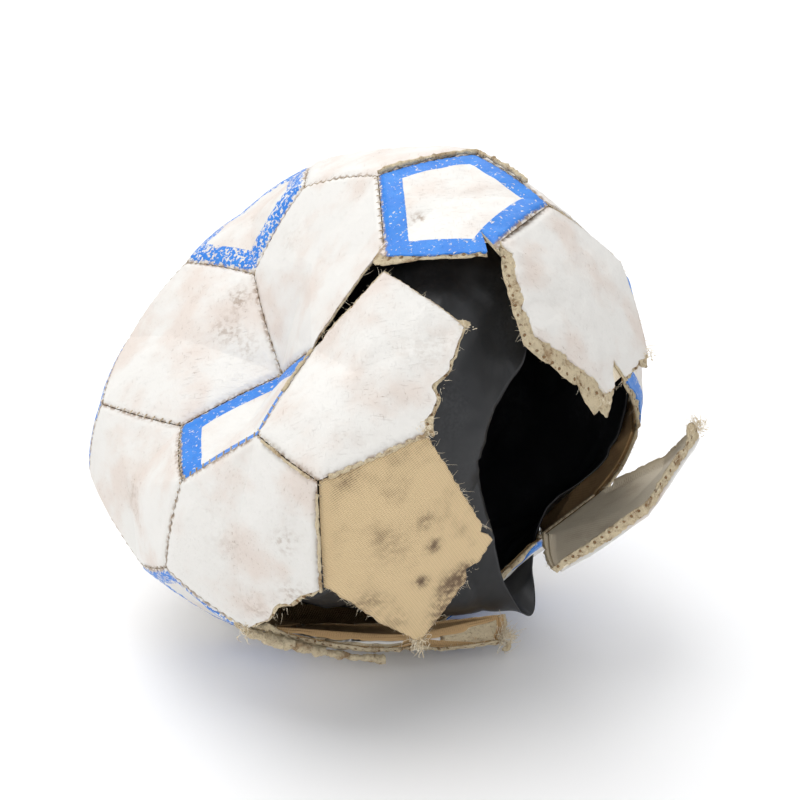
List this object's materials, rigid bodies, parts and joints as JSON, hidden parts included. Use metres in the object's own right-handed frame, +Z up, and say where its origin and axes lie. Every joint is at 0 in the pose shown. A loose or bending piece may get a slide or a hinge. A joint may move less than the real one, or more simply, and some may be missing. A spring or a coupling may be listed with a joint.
{
  "type": "soccer ball",
  "caption": "Worn, burst stitched soccer ball with blue pentagons and white hexagons, torn open to its cloth lining and a ripped black bladder, two panels folded out.",
  "frame": {"origin": "on the floor under the middle of the ball when it was round, in the face that the ball rests on", "axes": "+Z up; -Y towards the torn front; +X towards the side that the two loose panels open to"},
  "size_m": [0.2515, 0.2289, 0.2019],
  "materials": {
    "white_leather": "scuffed, cracked off-white coated leather with brown dirt in the seams",
    "blue_leather": "scuffed white coated leather with a worn blue printed band round the edge",
    "cloth_lining": "tan laminated cotton cloth with a fine diagonal weave, stained",
    "bladder_rubber": "satin black latex rubber, creased and dusty",
    "valve_core_rubber": "matte pale gum rubber",
    "waxed_thread": "waxed cream polyester thread, dirty"
  },
  "bodies": {
    "root": {"blue_top": "blue_leather", "blue_left": "blue_leather", "blue_dented": "blue_leather", "cloth_front": "cloth_lining", "blue_right": "blue_leather", "blue_back_top": "blue_leather", "blue_far_left": "blue_leather", "blue_low_left": "blue_leather", "blue_low_right": "blue_leather", "blue_back_right": "blue_leather", "blue_back_left": "blue_leather", "blue_under": "blue_leather", "white_upper_left": "white_leather", "white_front": "white_leather", "white_top_right": "white_leather", "white_top_left": "white_leather", "white_left": "white_leather", "white_low_front": "white_leather", "white_back_right": "white_leather", "white_back_top": "white_leather", "white_low_left": "white_leather", "white_torn_strip": "white_leather", "white_right_low": "white_leather", "white_valve": "white_leather", "white_back_left": "white_leather", "white_under_left": "white_leather", "white_under_front": "white_leather", "white_under_right": "white_leather", "white_under_back": "white_leather", "white_under_far": "white_leather", "lining_shell": "cloth_lining", "lining_valve": "cloth_lining", "bladder": "bladder_rubber", "valve_stem": "bladder_rubber", "valve_core": "valve_core_rubber", "seam_thread": "waxed_thread", "thread_hanging": "waxed_thread", "thread_lying_out": "waxed_thread"},
    "hanging_panel": {"white_hanging": "white_leather", "lining_hanging": "cloth_lining"},
    "lying_panel": {"white_lying_out": "white_leather", "lining_lying_out": "cloth_lining"}
  },
  "joints": [
    {"name": "hanging_panel_hinge", "type": "hinge", "parent": "root", "child": "hanging_panel", "pos_m": [0.0599, -0.04749, 0.18664], "axis": [-0.5423, -0.8307, -0.1256], "range_deg": [0, 50]},
    {"name": "lying_panel_hinge", "type": "hinge", "parent": "root", "child": "lying_panel", "pos_m": [0.08796, -0.01603, 0.04849], "axis": [0.6801, 0.7173, 0.1512], "range_deg": [-15, 20]}
  ]
}
